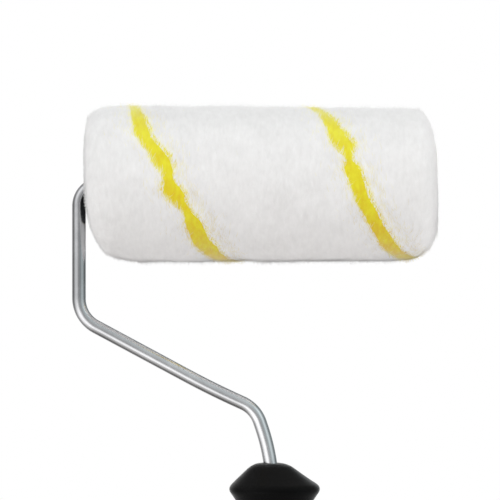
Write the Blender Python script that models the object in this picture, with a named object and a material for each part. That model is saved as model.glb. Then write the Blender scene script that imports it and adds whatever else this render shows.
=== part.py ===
"""Seven-inch paint roller: bent wire frame, moulded handle, spring-wire cage and a long-nap cover.

Dimensions are in millimetres and become metres when each mesh is made.  The handle stands on +Z
with the centre of its butt end at the origin, the roller turns about an axle parallel to +X, and
the bent wire lies in the XZ plane.
"""
import math

import bmesh
import bpy
from mathutils import Vector

MM = 0.001
GAP = 0.3                      # working clearance between neighbouring pieces

# Frame wire
WIRE_R = 3.5
AXLE_Z = 270.6
AXLE_FREE_END_X = 80.5
LEG_X = -99.7
LOW_BEND = (LEG_X, 202.4)
SLANT_EASE = (-31.8, 165.9)    # where the slant turns a little flatter
NECK_BEND = (-9.57, 155.8)
TANG_X = -0.87
HANDLE_LINE_Z = 130.2          # where the neck line meets the tang's line
TANG_END_Z = 55.0
TOP_BEND_RADIUS = 11.0
LOW_BEND_RADIUS = 16.5
SLANT_RADIUS = 430.0
NECK_BEND_RADIUS = 16.5
EASE_RADIUS = 104.0
WIRE_SIDES = 20
WIRE_CHAMFER = 0.7

# Cover
CORE_INNER_R = 19.05
CORE_OUTER_R = 20.85
CORE_LEFT_X = -92.3
CORE_RIGHT_X = 82.2
PILE_R = 40.2
PILE_LEFT_X = -95.9
PILE_RIGHT_X = 84.3
COVER_SIDES = 48

# Coloured line in the pile
STRIPE_WIDTH = 7.0
STRIPE_DEPTH = 6.0
# turns from the top and place along the axle of the yellow line's middle
STRIPE_PATH = (
    (-0.38, -105.5), (-0.20, -90.5), (-0.07, -81.2), (0.0, -72.8), (0.062, -69.9), (0.11, -67.9),
    (0.158, -64.4), (0.199, -56.7), (0.248, -52.7), (0.297, -47.7), (0.337, -40.6), (0.384, -36.9),
    (0.428, -31.6), (0.50, -22.8), (0.62, -12.5), (0.80, 2.5), (0.93, 11.8), (1.0, 16.9), (1.062, 22.5),
    (1.11, 28.6), (1.158, 32.3), (1.199, 37.2), (1.248, 40.0), (1.297, 45.6), (1.337, 49.9),
    (1.384, 56.1), (1.428, 60.9), (1.50, 70.0), (1.62, 80.5), (1.80, 95.2), (1.95, 106.2),
)
STRIPE_STEPS_PER_TURN = 24

# Cage
CAGE_WIRE_COUNT = 5
CAGE_WIRE_R = 1.1
CAGE_WIRE_END_RADIUS = 15.0
CAGE_WIRE_BOW = 2.6
CAGE_WIRE_LEFT_X = -78.5
CAGE_WIRE_RIGHT_X = 70.5
CAP_LEFT_FACE_X = -72.0
CAP_RIGHT_FACE_X = 64.0
CAP_R = 18.75
HUB_BORE_R = 5.8
BUSH_R = 5.5
SPIDER_X = -4.0
SPIDER_THICK = 4.0
SPIDER_R = 18.3

# Handle
BUTT_BORE_R = 11.4
BUTT_BORE_TOP_Z = 36.0
SLEEVE_BOTTOM_Z = 14.0
SLEEVE_TOP_Z = 97.0
SLEEVE_THICK = 2.0
HANDLE_SIDES = 32
SECTION_POWER = 2.25
GROOVE_COUNT = 6
GROOVE_PITCH = 8.5
GROOVE_FIRST_Z = 34.0
GROOVE_WIDTH = 2.2
GROOVE_DEPTH = 0.9

# Pole thread
THREAD_PITCH = 5.08
THREAD_MAJOR_R = 9.65
THREAD_MINOR_R = 8.2
THREAD_START_Z = 4.0
THREAD_TURNS = 4.75
THREAD_STEPS = 20

AXLE_ORIGIN = Vector((0.0, 0.0, AXLE_Z * MM))
WORLD_ORIGIN = Vector((0.0, 0.0, 0.0))


# ---------------------------------------------------------------- materials
def make_material(name, colour, roughness, metallic):
    mat = bpy.data.materials.new(name)
    mat.use_nodes = True
    shader = mat.node_tree.nodes["Principled BSDF"]
    shader.inputs["Base Color"].default_value = (*colour, 1.0)
    shader.inputs["Roughness"].default_value = roughness
    shader.inputs["Metallic"].default_value = metallic
    mat.diffuse_color = (*colour, 1.0)
    return mat


# ---------------------------------------------------------------- mesh helpers
def finish_mesh(name, mesh_data, material, origin, sharp_degrees):
    bmesh.ops.recalc_face_normals(mesh_data, faces=mesh_data.faces)
    mesh = bpy.data.meshes.new(name)
    mesh_data.to_mesh(mesh)
    mesh_data.free()
    obj = bpy.data.objects.new(name, mesh)
    obj.location = origin
    bpy.context.scene.collection.objects.link(obj)
    mesh.materials.append(material)
    if sharp_degrees:
        mesh.shade_smooth()
        mesh.set_sharp_from_angle(angle=math.radians(sharp_degrees))
    return obj


def loft(name, rings, material, origin=WORLD_ORIGIN, closed=False, sharp_degrees=32.0, twisted=False):
    """Join equal rings of points; the ends are capped, or joined to each other when closed.

    Twisted surfaces are split into triangles so that every facet is flat.
    """
    data = bmesh.new()
    loops = [[data.verts.new(point * MM - origin) for point in ring] for ring in rings]
    count = len(loops[0])
    last = len(loops) if closed else len(loops) - 1
    for i in range(last):
        lower = loops[i]
        upper = loops[(i + 1) % len(loops)]
        for j in range(count):
            k = (j + 1) % count
            data.faces.new((lower[j], lower[k], upper[k], upper[j]))
    if not closed:
        data.faces.new(loops[0])
        data.faces.new(loops[-1])
    if twisted:
        bmesh.ops.triangulate(data, faces=data.faces, quad_method="FIXED")
    return finish_mesh(name, data, material, origin, sharp_degrees)


def around_axle(x, radius, sides, turn=0.0):
    ring = []
    for j in range(sides):
        a = 2.0 * math.pi * (j / sides + turn)
        ring.append(Vector((x, -radius * math.sin(a), AXLE_Z + radius * math.cos(a))))
    return ring


def turned_on_axle(name, outline, material, sides):
    """Revolve a closed (x, radius) outline about the axle."""
    rings = [around_axle(x, radius, sides) for x, radius in outline]
    return loft(name, rings, material, AXLE_ORIGIN, closed=True)


def rod(name, start, end, radius, sides, material, origin=WORLD_ORIGIN):
    """Straight round bar between two points."""
    direction = (end - start).normalized()
    side = direction.orthogonal().normalized()
    other = direction.cross(side)
    rings = []
    for centre in (start, end):
        ring = []
        for j in range(sides):
            a = 2.0 * math.pi * j / sides
            ring.append(centre + side * (radius * math.cos(a)) + other * (radius * math.sin(a)))
        rings.append(ring)
    return loft(name, rings, material, origin)


def cut(target, cutters, operation="DIFFERENCE"):
    """Apply exact Booleans to the target, leaving the cutters hidden."""
    for cutter in cutters:
        cutter.hide_render = True
        cutter.display_type = "WIRE"
        modifier = target.modifiers.new("cut_" + cutter.name, "BOOLEAN")
        modifier.operation = operation
        modifier.solver = "EXACT"
        modifier.object = cutter
    bpy.context.view_layer.update()
    graph = bpy.context.evaluated_depsgraph_get()
    baked = bpy.data.meshes.new_from_object(target.evaluated_get(graph))
    target.modifiers.clear()
    old = target.data
    target.data = baked
    baked.name = target.name
    bpy.data.meshes.remove(old)
    for cutter in cutters:
        tool_mesh = cutter.data
        bpy.data.objects.remove(cutter)
        bpy.data.meshes.remove(tool_mesh)
    clean(target)


def clean(obj):
    """Merge near-duplicate points left by a Boolean and drop degenerate slivers."""
    data = bmesh.new()
    data.from_mesh(obj.data)
    bmesh.ops.remove_doubles(data, verts=data.verts, dist=0.00001)
    bmesh.ops.dissolve_degenerate(data, edges=data.edges, dist=0.00001)
    bmesh.ops.recalc_face_normals(data, faces=data.faces)
    data.to_mesh(obj.data)
    data.free()
    obj.data.shade_smooth()
    obj.data.set_sharp_from_angle(angle=math.radians(32.0))


# ---------------------------------------------------------------- frame wire
def fillet(before, corner, after, radius, steps):
    """Points along a round bend tangent to both straight legs."""
    back = (before - corner).normalized()
    ahead = (after - corner).normalized()
    turn = math.pi - back.angle(ahead)
    reach = radius * math.tan(turn / 2.0)
    centre = corner + (back + ahead).normalized() * (radius / math.cos(turn / 2.0))
    first = corner + back * reach - centre
    last = corner + ahead * reach - centre
    points = []
    for i in range(steps + 1):
        t = i / steps
        arc = math.sin((1.0 - t) * turn) * first + math.sin(t * turn) * last
        points.append(centre + arc / math.sin(turn))
    return points


def frame_centreline():
    free_end = Vector((AXLE_FREE_END_X, 0.0, AXLE_Z))
    top = Vector((LEG_X, 0.0, AXLE_Z))
    low = Vector((LOW_BEND[0], 0.0, LOW_BEND[1]))
    slant = Vector((SLANT_EASE[0], 0.0, SLANT_EASE[1]))
    neck = Vector((NECK_BEND[0], 0.0, NECK_BEND[1]))
    handle = Vector((TANG_X, 0.0, HANDLE_LINE_Z))
    tang_end = Vector((TANG_X, 0.0, TANG_END_Z))
    path = [free_end]
    path += fillet(free_end, top, low, TOP_BEND_RADIUS, 9)
    path += fillet(top, low, slant, LOW_BEND_RADIUS, 6)
    path += fillet(low, slant, neck, SLANT_RADIUS, 3)
    path += fillet(slant, neck, handle, NECK_BEND_RADIUS, 5)
    path += fillet(neck, handle, tang_end, EASE_RADIUS, 4)
    path.append(tang_end)
    return path


def planar_tube(name, path, radii, sides, material, origin=WORLD_ORIGIN):
    """Round section swept along a path that lies in the XZ plane."""
    rings = []
    for i, point in enumerate(path):
        arriving = (point - path[max(i - 1, 0)]).normalized()
        leaving = (path[min(i + 1, len(path) - 1)] - point).normalized()
        along = (arriving + leaving).normalized()
        side = along.cross(Vector((0.0, 1.0, 0.0)))
        ring = []
        for j in range(sides):
            a = 2.0 * math.pi * j / sides
            offset = side * math.cos(a) + Vector((0.0, math.sin(a), 0.0))
            ring.append(point + offset * radii[i])
        rings.append(ring)
    return loft(name, rings, material, origin)


def build_frame_wire(material):
    path = frame_centreline()
    axle_step = Vector((WIRE_CHAMFER, 0.0, 0.0))
    tang_step = Vector((0.0, 0.0, WIRE_CHAMFER))
    path = [path[0], path[0] - axle_step] + path[1:-1] + [path[-1] + tang_step, path[-1]]
    radii = [WIRE_R] * len(path)
    radii[0] = WIRE_R - WIRE_CHAMFER
    radii[-1] = WIRE_R - WIRE_CHAMFER
    return planar_tube("frame_wire", path, radii, WIRE_SIDES, material)


# ---------------------------------------------------------------- handle
GRIP_STATIONS = (
    (0.0, 18.5),
    (8.0, 18.3),
    (14.0, 16.6),
    (24.0, 15.9),
    (40.0, 16.4),
    (60.0, 17.2),
    (78.0, 16.2),
    (92.0, 14.2),
    (98.0, 13.7),
)
# height, left edge, right edge of the guard, from the neck up to the mouth of the wire bore
GUARD_STATIONS = (
    (99.6, -13.8, 13.8),
    (103.0, -15.5, 15.7),
    (108.2, -19.0, 19.5),
    (111.4, -21.1, 21.6),
    (112.8, -22.1, 22.6),
    (114.0, -22.7, 23.2),
    (115.2, -22.8, 23.3),
    (116.3, -22.4, 22.9),
    (117.4, -21.5, 21.8),
    (119.6, -19.3, 18.4),
    (122.4, -16.4, 14.4),
    (125.2, -13.4, 10.5),
    (126.6, -11.5, 8.3),
    (127.6, -9.2, 5.4),
    (128.0, -7.6, 3.6),
)
GUARD_DEPTH_RATIO = 0.82
GRIP_OVAL = 0.8


def grip_half_width(z):
    """Smooth half width of the grip at a height."""
    for (z0, w0), (z1, w1) in zip(GRIP_STATIONS, GRIP_STATIONS[1:]):
        if z <= z1:
            t = (z - z0) / (z1 - z0)
            ease = t * t * (3.0 - 2.0 * t)
            return w0 + (w1 - w0) * ease
    return GRIP_STATIONS[-1][1]


def handle_ring(z, left, right, depth):
    """Squashed oval section of the handle between two X edges."""
    middle = (left + right) / 2.0
    half = (right - left) / 2.0
    power = 2.0 / SECTION_POWER
    ring = []
    for j in range(HANDLE_SIDES):
        a = 2.0 * math.pi * j / HANDLE_SIDES
        c = math.cos(a)
        s = math.sin(a)
        x = middle + half * math.copysign(abs(c) ** power, c)
        y = depth * math.copysign(abs(s) ** power, s)
        ring.append(Vector((x, y, z)))
    return ring


def grip_ring(z, inset):
    half = grip_half_width(z) - inset
    return handle_ring(z, -half, half, half - GRIP_OVAL)


def build_handle_core(material):
    recess = SLEEVE_THICK + GAP
    rings = [grip_ring(0.0, 1.2), grip_ring(1.0, 0.2), grip_ring(4.0, 0.0), grip_ring(8.0, 0.0)]
    rings += [grip_ring(11.0, 0.0), grip_ring(SLEEVE_BOTTOM_Z, 0.0)]
    rings.append(grip_ring(SLEEVE_BOTTOM_Z, recess))
    for z in (24.0, 40.0, 60.0, 78.0, 92.0):
        rings.append(grip_ring(z, recess))
    rings.append(grip_ring(SLEEVE_TOP_Z, recess))
    rings.append(grip_ring(SLEEVE_TOP_Z, 0.0))
    for z, left, right in GUARD_STATIONS:
        rings.append(handle_ring(z, left, right, (right - left) / 2.0 * GUARD_DEPTH_RATIO))
    core = loft("handle_core", rings, material)

    path = frame_centreline()
    path[-1] = path[-1] - Vector((0.0, 0.0, GAP))
    keep = path[-6:]
    bore = planar_tube("tang_bore", keep, [WIRE_R + GAP] * len(keep), WIRE_SIDES, material)
    bottom = Vector((0.0, 0.0, -2.0))
    top = Vector((0.0, 0.0, BUTT_BORE_TOP_Z))
    socket = rod("socket_bore", bottom, top, BUTT_BORE_R, HANDLE_SIDES, material)
    cut(core, [bore, socket])
    return core


def build_grip_sleeve(material):
    low = SLEEVE_BOTTOM_Z + GAP
    high = SLEEVE_TOP_Z - GAP
    rings = [grip_ring(low, SLEEVE_THICK), grip_ring(low, 0.3), grip_ring(low + 0.5, 0.0)]
    rings.append(grip_ring(24.0, 0.0))
    for i in range(GROOVE_COUNT):
        z = GROOVE_FIRST_Z + GROOVE_PITCH * i
        rings.append(grip_ring(z - GROOVE_WIDTH / 2.0, 0.0))
        rings.append(grip_ring(z - GROOVE_WIDTH / 4.0, GROOVE_DEPTH))
        rings.append(grip_ring(z + GROOVE_WIDTH / 4.0, GROOVE_DEPTH))
        rings.append(grip_ring(z + GROOVE_WIDTH / 2.0, 0.0))
    rings += [grip_ring(90.0, 0.0), grip_ring(high - 0.5, 0.0), grip_ring(high, 0.3)]
    rings.append(grip_ring(high, SLEEVE_THICK))
    for z in (92.0, 78.0, 60.0, 40.0, 24.0):
        rings.append(grip_ring(z, SLEEVE_THICK))
    return loft("grip_sleeve", rings, material, closed=True)


def build_pole_insert(material):
    """Moulded socket with a coarse internal pole thread."""
    outer = BUTT_BORE_R - GAP
    low = 0.6
    high = 34.0
    outline = (
        (low, THREAD_MAJOR_R + 0.6),
        (low, outer),
        (high, outer),
        (high, THREAD_MAJOR_R),
        (low + 0.8, THREAD_MAJOR_R),
    )
    rings = []
    for z, radius in outline:
        ring = []
        for j in range(HANDLE_SIDES):
            a = 2.0 * math.pi * j / HANDLE_SIDES
            ring.append(Vector((radius * math.cos(a), radius * math.sin(a), z)))
        rings.append(ring)
    insert = loft("pole_insert", rings, material, closed=True)

    root = THREAD_MAJOR_R + 0.7
    steps = int(THREAD_TURNS * THREAD_STEPS)
    ridge = []
    for i in range(steps + 1):
        a = 2.0 * math.pi * i / THREAD_STEPS + 0.05
        z = THREAD_START_Z + THREAD_PITCH * i / THREAD_STEPS
        ramp = min(1.0, i / 5.0, (steps - i) / 5.0)
        crest = THREAD_MAJOR_R + 0.1 + (THREAD_MINOR_R - THREAD_MAJOR_R - 0.1) * ramp
        out = Vector((math.cos(a), math.sin(a), 0.0))
        up = Vector((0.0, 0.0, 1.0))
        ridge.append([
            out * root + up * (z - 1.7),
            out * crest + up * (z - 0.8),
            out * crest + up * (z + 0.8),
            out * root + up * (z + 1.7),
        ])
    thread = loft("thread_ridge", ridge, material, twisted=True)
    cut(insert, [thread], "UNION")
    return insert


# ---------------------------------------------------------------- axle hardware
def ring_on_axle(name, left, right, inner, outer, material, sides=24):
    outline = ((left, inner), (left, outer), (right, outer), (right, inner))
    return turned_on_axle(name, outline, material, sides)


def build_stop_collar(material):
    outline = (
        (-87.2, WIRE_R + GAP),
        (-87.2, 5.3),
        (-86.7, 5.8),
        (-85.4, 5.8),
        (-84.9, 5.3),
        (-84.9, WIRE_R + GAP),
    )
    return turned_on_axle("inner_stop_collar", outline, material, 24)


def build_push_nut(material):
    """Dished spring nut with six teeth pressed over the end of the axle."""
    bore = WIRE_R + GAP
    outline = (
        (78.0, bore),
        (77.2, 5.4),
        (77.2, 7.4),
        (76.8, 7.4),
        (76.8, 5.2),
        (77.5, bore),
    )
    nut = turned_on_axle("push_nut", outline, material, 36)
    slots = []
    for i in range(6):
        a = 2.0 * math.pi * (i + 0.5) / 6.0
        out = Vector((0.0, -math.sin(a), math.cos(a)))
        base = Vector((0.0, 0.0, AXLE_Z)) + out * 4.6
        left = base + Vector((75.0, 0.0, 0.0))
        right = base + Vector((80.0, 0.0, 0.0))
        slots.append(rod("nut_slot_%d" % i, left, right, 0.95, 10, material))
    cut(nut, slots)
    return nut


# ---------------------------------------------------------------- cage
def wire_holes(material, left, right):
    holes = []
    for i in range(CAGE_WIRE_COUNT):
        a = 2.0 * math.pi * i / CAGE_WIRE_COUNT
        out = Vector((0.0, -math.sin(a), math.cos(a))) * CAGE_WIRE_END_RADIUS
        start = Vector((left, 0.0, AXLE_Z)) + out
        end = Vector((right, 0.0, AXLE_Z)) + out
        holes.append(rod("wire_hole_%d" % i, start, end, CAGE_WIRE_R + GAP, 12, material))
    return holes


def build_inner_cap(material):
    """Cup whose deep open side leaves room for the bend of the frame wire."""
    cup = 16.9
    web_left = -82.6
    web_right = -79.6
    outline = (
        (CORE_LEFT_X - 1.3, cup + 0.6),
        (CORE_LEFT_X - 1.3, 20.3),
        (CORE_LEFT_X - GAP, 20.3),
        (CORE_LEFT_X - GAP, CAP_R),
        (CAP_LEFT_FACE_X - 0.9, CAP_R),
        (CAP_LEFT_FACE_X, CAP_R - 0.9),
        (CAP_LEFT_FACE_X, 12.8),
        (web_right, 12.8),
        (web_right, 8.6),
        (-70.0, 8.6),
        (-70.0, HUB_BORE_R),
        (web_left, HUB_BORE_R),
        (web_left, cup),
        (CORE_LEFT_X - 0.5, cup),
    )
    cap = turned_on_axle("inner_end_cap", outline, material, 40)
    cut(cap, wire_holes(material, CAGE_WIRE_LEFT_X - GAP, CAP_LEFT_FACE_X + 2.0))
    return cap


def build_outer_cap(material):
    """Cup with a tapered nose that guides the cover on."""
    web_left = 72.0
    web_right = 74.5
    outline = (
        (CAP_RIGHT_FACE_X, 12.8),
        (CAP_RIGHT_FACE_X, CAP_R - 0.9),
        (CAP_RIGHT_FACE_X + 0.9, CAP_R),
        (78.5, CAP_R),
        (81.0, CAP_R - 0.7),
        (82.4, CAP_R - 1.7),
        (82.4, 16.2),
        (81.7, 15.6),
        (web_right, 15.6),
        (web_right, HUB_BORE_R),
        (62.0, HUB_BORE_R),
        (62.0, 8.6),
        (web_left, 8.6),
        (web_left, 12.8),
    )
    cap = turned_on_axle("outer_end_cap", outline, material, 40)
    cut(cap, wire_holes(material, CAP_RIGHT_FACE_X - 2.0, CAGE_WIRE_RIGHT_X + GAP))
    return cap


def build_bush(name, flange_out, flange_in, sleeve_end, material):
    """Flanged bearing sleeve, with its flange on the outward side of the cap."""
    bore = WIRE_R + GAP
    outline = (
        (flange_out, bore),
        (flange_out, 7.4),
        (flange_in, 7.4),
        (flange_in, BUSH_R),
        (sleeve_end, BUSH_R),
        (sleeve_end, bore),
    )
    return turned_on_axle(name, outline, material, 24)


def build_cage_wire(index, material):
    """Spring wire that bows outwards to grip the bore of the cover."""
    a = 2.0 * math.pi * index / CAGE_WIRE_COUNT
    out = Vector((0.0, -math.sin(a), math.cos(a)))
    across = Vector((0.0, math.cos(a), math.sin(a)))
    span_left = CAP_LEFT_FACE_X + 1.0
    span_right = CAP_RIGHT_FACE_X - 1.0
    stations = [(CAGE_WIRE_LEFT_X, 0.0)]
    steps = 12
    for i in range(steps + 1):
        t = i / steps
        x = span_left + (span_right - span_left) * t
        stations.append((x, CAGE_WIRE_BOW * math.sin(math.pi * t)))
    stations.append((CAGE_WIRE_RIGHT_X, 0.0))
    rings = []
    for x, rise in stations:
        centre = Vector((x, 0.0, AXLE_Z)) + out * (CAGE_WIRE_END_RADIUS + rise)
        ring = []
        for j in range(8):
            b = 2.0 * math.pi * j / 8
            ring.append(centre + (out * math.cos(b) + across * math.sin(b)) * CAGE_WIRE_R)
        rings.append(ring)
    return loft("cage_wire_%d" % (index + 1), rings, material, AXLE_ORIGIN)


def build_spider(material):
    """Mid-span spacer that keeps the five spring wires apart."""
    left = SPIDER_X - SPIDER_THICK / 2.0
    right = SPIDER_X + SPIDER_THICK / 2.0
    spider = ring_on_axle("centre_spider", left, right, 5.2, SPIDER_R, material, 40)
    cutters = []
    for i in range(CAGE_WIRE_COUNT):
        a = 2.0 * math.pi * i / CAGE_WIRE_COUNT
        b = 2.0 * math.pi * (i + 0.5) / CAGE_WIRE_COUNT
        notch = Vector((0.0, -math.sin(a), math.cos(a)))
        window = Vector((0.0, -math.sin(b), math.cos(b)))
        start = Vector((left - 2.0, 0.0, AXLE_Z))
        end = Vector((right + 2.0, 0.0, AXLE_Z))
        seat = notch * (CAGE_WIRE_END_RADIUS + CAGE_WIRE_BOW)
        seat_r = CAGE_WIRE_R + GAP
        cutters.append(rod("notch_%d" % i, start + seat, end + seat, seat_r, 12, material))
        hole = window * 11.5
        cutters.append(rod("window_%d" % i, start + hole, end + hole, 3.4, 12, material))
    cut(spider, cutters)
    return spider


# ---------------------------------------------------------------- cover
# distance in from the end and distance down from the full radius, at the top and underneath
LEFT_TOP = ((0.6, 17.5), (0.0, 11.0), (0.1, 7.6), (1.3, 5.7), (3.2, 3.7), (5.9, 1.7), (11.5, 0.0))
LEFT_UNDER = ((2.0, 17.5), (3.6, 14.0), (5.2, 10.5), (7.2, 6.7), (9.4, 4.3), (13.7, 2.2), (25.5, 0.1))
RIGHT_TOP = ((1.9, 17.5), (3.0, 13.3), (4.3, 9.2), (6.2, 5.6), (7.6, 3.6), (10.0, 2.1), (20.0, 1.3))
RIGHT_UNDER = ((0.0, 17.5), (1.9, 12.5), (3.2, 8.6), (4.9, 5.8), (8.6, 3.0), (12.5, 1.3), (20.0, 0.8))


def shoulder_point(first, second, index, blend):
    inward = first[index][0] * (1.0 - blend) + second[index][0] * blend
    down = first[index][1] * (1.0 - blend) + second[index][1] * blend
    return inward, down


def pile_body(name, material):
    """Nap with brushed-over ends: the left end droops underneath, the right end at the top."""
    bore = CORE_OUTER_R + GAP
    count = len(LEFT_TOP)
    rings = []
    for station in range(2 * count + 2):
        ring = []
        for j in range(COVER_SIDES):
            a = 2.0 * math.pi * j / COVER_SIDES
            low = (1.0 - math.cos(a)) / 2.0
            if station == 0:
                x, radius = CORE_LEFT_X, bore
            elif station <= count:
                inward, down = shoulder_point(LEFT_TOP, LEFT_UNDER, station - 1, low)
                x, radius = PILE_LEFT_X + inward, PILE_R - down
            elif station <= 2 * count:
                index = 2 * count - station
                inward, down = shoulder_point(RIGHT_TOP, RIGHT_UNDER, index, low)
                x, radius = PILE_RIGHT_X - inward, PILE_R - down
            else:
                x, radius = CORE_RIGHT_X, bore
            ring.append(Vector((x, -radius * math.sin(a), AXLE_Z + radius * math.cos(a))))
        rings.append(ring)
    return loft(name, rings, material, AXLE_ORIGIN, closed=True, sharp_degrees=40.0, twisted=True)


def stripe_middle(turn):
    for (t0, x0), (t1, x1) in zip(STRIPE_PATH, STRIPE_PATH[1:]):
        if turn <= t1:
            return x0 + (x1 - x0) * (turn - t0) / (t1 - t0)
    return STRIPE_PATH[-1][1]


def stripe_band(name, side_gap, floor_radius, material):
    """Helical band, wider than the pile radius so that it can cut or be trimmed by the nap."""
    half = STRIPE_WIDTH / 2.0 + side_gap
    first = int(STRIPE_PATH[0][0] * STRIPE_STEPS_PER_TURN)
    last = int(STRIPE_PATH[-1][0] * STRIPE_STEPS_PER_TURN)
    rings = []
    for i in range(first, last + 1):
        turn = i / STRIPE_STEPS_PER_TURN
        a = 2.0 * math.pi * turn
        x = stripe_middle(turn)
        out = Vector((0.0, -math.sin(a), math.cos(a)))
        centre = Vector((x, 0.0, AXLE_Z))
        left = centre - Vector((half, 0.0, 0.0))
        right = centre + Vector((half, 0.0, 0.0))
        top = PILE_R + 4.0
        ring = (left + out * floor_radius, left + out * top, right + out * top, right + out * floor_radius)
        rings.append(ring)
    return loft(name, rings, material, AXLE_ORIGIN, twisted=True)


def build_pile(white, yellow):
    floor = PILE_R - STRIPE_DEPTH
    sleeve = pile_body("pile_sleeve", white)
    cut(sleeve, [stripe_band("stripe_groove", GAP, floor - GAP, white)])
    stripe = pile_body("pile_stripe", yellow)
    cut(stripe, [stripe_band("stripe_keep", 0.0, floor, yellow)], "INTERSECT")
    return sleeve, stripe


# ---------------------------------------------------------------- assembly
def build():
    for obj in list(bpy.data.objects):
        bpy.data.objects.remove(obj)

    zinc = make_material("zinc_plated_steel", (0.70, 0.71, 0.73), 0.22, 1.0)
    spring = make_material("spring_steel", (0.48, 0.49, 0.51), 0.32, 1.0)
    handle = make_material("handle_black_plastic", (0.020, 0.020, 0.022), 0.48, 0.0)
    grip = make_material("grip_soft_black", (0.014, 0.014, 0.015), 0.75, 0.0)
    socket = make_material("socket_grey_plastic", (0.16, 0.17, 0.18), 0.5, 0.0)
    cap = make_material("cap_black_nylon", (0.028, 0.029, 0.031), 0.42, 0.0)
    bush = make_material("bush_natural_acetal", (0.82, 0.81, 0.76), 0.35, 0.0)
    core = make_material("core_tube_plastic", (0.62, 0.60, 0.55), 0.5, 0.0)
    white = make_material("pile_white", (0.82, 0.81, 0.79), 0.95, 0.0)
    yellow = make_material("pile_yellow", (0.76, 0.62, 0.05), 0.95, 0.0)

    build_frame_wire(zinc)
    build_handle_core(handle)
    build_grip_sleeve(grip)
    build_pole_insert(socket)
    build_stop_collar(zinc)
    ring_on_axle("inner_washer", -84.6, -83.8, WIRE_R + GAP, 6.8, zinc)
    ring_on_axle("outer_washer", 75.7, 76.5, WIRE_R + GAP, 6.8, zinc)
    build_push_nut(spring)

    build_inner_cap(cap)
    build_outer_cap(cap)
    build_bush("inner_bush", -83.5, -82.9, -71.5, bush)
    build_bush("outer_bush", 75.4, 74.8, 63.5, bush)
    for index in range(CAGE_WIRE_COUNT):
        build_cage_wire(index, spring)
    build_spider(cap)

    core_rings = ((CORE_LEFT_X, CORE_INNER_R), (CORE_LEFT_X, CORE_OUTER_R))
    core_rings += ((CORE_RIGHT_X, CORE_OUTER_R), (CORE_RIGHT_X, CORE_INNER_R))
    turned_on_axle("core_tube", core_rings, core, COVER_SIDES)
    build_pile(white, yellow)


build()
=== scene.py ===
"""Looks of the paint roller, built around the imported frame.

Lengths in the shapes' constants are millimetres and become metres when a mesh is made.
The room, the lamps, the camera and the heights in materials are in metres.
"""

import math

import bpy
import numpy as np
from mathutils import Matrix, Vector


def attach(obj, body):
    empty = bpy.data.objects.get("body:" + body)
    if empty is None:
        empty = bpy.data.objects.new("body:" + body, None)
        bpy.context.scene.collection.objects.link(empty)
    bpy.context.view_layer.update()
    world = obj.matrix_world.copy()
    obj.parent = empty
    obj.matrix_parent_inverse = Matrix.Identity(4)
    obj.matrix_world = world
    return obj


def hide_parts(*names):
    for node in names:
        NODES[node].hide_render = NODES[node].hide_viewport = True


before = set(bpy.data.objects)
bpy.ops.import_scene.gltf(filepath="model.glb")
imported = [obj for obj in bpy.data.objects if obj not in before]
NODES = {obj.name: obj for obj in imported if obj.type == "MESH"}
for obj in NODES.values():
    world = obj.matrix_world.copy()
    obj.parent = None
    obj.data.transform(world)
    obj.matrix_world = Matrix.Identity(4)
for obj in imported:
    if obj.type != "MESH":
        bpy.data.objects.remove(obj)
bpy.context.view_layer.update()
MM = 0.001

# ------------------------------------------------------------------ dimensions, as in the frame
WIRE_R = 3.5
AXLE_Z = 270.6
AXLE_FREE_END_X = 80.5
LEG_X = -99.7
LOW_BEND = (LEG_X, 202.4)
SLANT_EASE = (-31.8, 165.9)
NECK_BEND = (-9.57, 155.8)
TANG_X = -0.87
HANDLE_LINE_Z = 130.2
TANG_END_Z = 55.0
BEND_RADII = (11.0, 16.5, 430.0, 16.5, 104.0)
BORE_R = 21.15
CORE_LEFT_X = -92.3
CORE_RIGHT_X = 82.2
PILE_R = 40.2
PILE_LEFT_X = -95.9
PILE_RIGHT_X = 84.3
WIRE_SIDES = 48
BEND_STEPS = 28
GENTLE_BEND_R = 50.0
END_CHAMFER = 0.8
END_EASE = 0.25
# a tight bend squashes the wire in its plane and widens it across
BEND_SQUASH = 0.018
BEND_SPREAD = 0.010


# ------------------------------------------------------------------ mesh helpers
def make_mesh(name, points, faces, sharp=None):
    """New smooth object from points in millimetres."""
    mesh = bpy.data.meshes.new(name)
    mesh.from_pydata((np.asarray(points, float) * MM).tolist(), [], faces)
    mesh.validate()
    obj = bpy.data.objects.new(name, mesh)
    bpy.context.scene.collection.objects.link(obj)
    mesh.shade_smooth()
    if sharp:
        mesh.set_sharp_from_angle(angle=math.radians(sharp))
    return obj


def ring_faces(ring_count, side_count, closed_rings=False, caps=False):
    """Quads of a tube made from equal rings, wound so that they face outwards."""
    faces = []
    last = ring_count if closed_rings else ring_count - 1
    for i in range(last):
        a = i * side_count
        b = ((i + 1) % ring_count) * side_count
        for j in range(side_count):
            k = (j + 1) % side_count
            faces.append((a + j, a + k, b + k, b + j))
    if caps:
        faces.append(tuple(range(side_count - 1, -1, -1)))
        start = (ring_count - 1) * side_count
        faces.append(tuple(range(start, start + side_count)))
    return faces


def tube(name, rings, closed_rings=False, sharp=None):
    """Closed solid through equal rings, capped, or joined end to end."""
    rings = np.asarray(rings, float)
    faces = ring_faces(rings.shape[0], rings.shape[1], closed_rings, not closed_rings)
    return make_mesh(name, rings.reshape(-1, 3), faces, sharp=sharp)


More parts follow.
